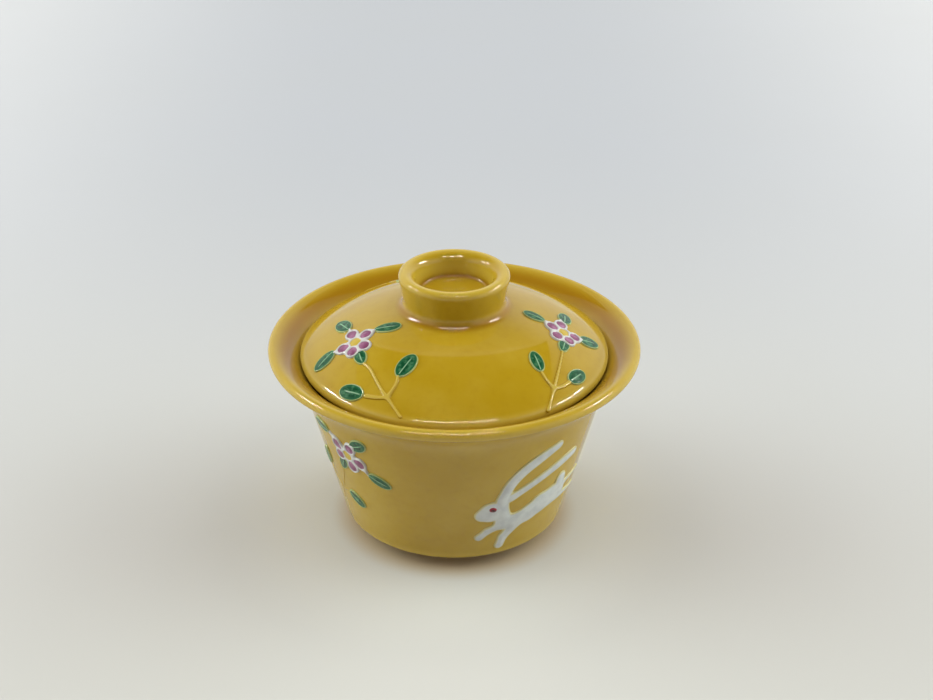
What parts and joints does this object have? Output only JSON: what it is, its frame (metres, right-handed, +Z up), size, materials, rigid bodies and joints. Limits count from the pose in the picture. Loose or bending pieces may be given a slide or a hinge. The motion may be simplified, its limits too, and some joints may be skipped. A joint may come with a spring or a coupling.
{
  "type": "lidded bowl",
  "caption": "Yellow-glazed ceramic bowl with a flared rim and foot ring, and a domed lid with a ring knob that sits inside the rim, with raised flower sprays and leaping hares.",
  "frame": {"origin": "centre of the foot ring's base, on the surface that the bowl stands on", "axes": "+Z up along the axis of the bowl and lid; -Y is the side seen in the picture, with the hare to its right"},
  "size_m": [0.115, 0.115, 0.086],
  "materials": {
    "yellow_glaze": "glossy deep yellow glaze, thinner and paler on edges",
    "bare_clay": "unglazed pale clay on the foot",
    "pale_slip": "trailed slip under yellow glaze",
    "leaf_enamel": "glossy dark green enamel",
    "petal_enamel": "glossy purple-pink enamel with white slip edges",
    "white_slip": "raised white slip, satin to glossy",
    "eye_enamel": "glossy red enamel"
  },
  "bodies": {
    "bowl": {"bowl_body": "yellow_glaze", "foot_ring": "bare_clay", "bowl_left_flower": "petal_enamel", "bowl_left_stem": "pale_slip", "bowl_left_upper_leaf": "leaf_enamel", "bowl_left_crown_leaf": "leaf_enamel", "bowl_left_bud_leaf": "leaf_enamel", "bowl_left_side_leaf": "leaf_enamel", "bowl_left_lower_leaf": "leaf_enamel", "bowl_left_outer_leaf": "leaf_enamel", "bowl_back_flower": "petal_enamel", "bowl_back_stem": "pale_slip", "bowl_back_upper_leaf": "leaf_enamel", "bowl_back_crown_leaf": "leaf_enamel", "bowl_back_bud_leaf": "leaf_enamel", "bowl_back_side_leaf": "leaf_enamel", "bowl_back_lower_leaf": "leaf_enamel", "bowl_back_outer_leaf": "leaf_enamel", "hare": "white_slip", "hare_eye": "eye_enamel", "hare_back": "white_slip", "hare_back_eye": "eye_enamel"},
    "lid": {"lid_dome": "yellow_glaze", "knob_ring": "yellow_glaze", "lid_left_flower": "petal_enamel", "lid_left_stem": "pale_slip", "lid_left_outer_leaf": "leaf_enamel", "lid_left_upper_leaf": "leaf_enamel", "lid_left_lower_leaf": "leaf_enamel", "lid_left_bud_leaf": "leaf_enamel", "lid_left_edge_leaf": "leaf_enamel", "lid_left_side_leaf": "leaf_enamel", "lid_right_flower": "petal_enamel", "lid_right_stem": "pale_slip", "lid_right_outer_leaf": "leaf_enamel", "lid_right_upper_leaf": "leaf_enamel", "lid_right_lower_leaf": "leaf_enamel", "lid_right_bud_leaf": "leaf_enamel", "lid_right_edge_leaf": "leaf_enamel", "lid_right_side_leaf": "leaf_enamel", "lid_back_flower": "petal_enamel", "lid_back_stem": "pale_slip", "lid_back_outer_leaf": "leaf_enamel", "lid_back_upper_leaf": "leaf_enamel", "lid_back_lower_leaf": "leaf_enamel", "lid_back_bud_leaf": "leaf_enamel", "lid_back_edge_leaf": "leaf_enamel", "lid_back_side_leaf": "leaf_enamel"}
  },
  "joints": [
    {"name": "lid_lift", "type": "slide", "parent": "bowl", "child": "lid", "axis": [0, 0, 1], "range_m": [0, 0.12]}
  ]
}
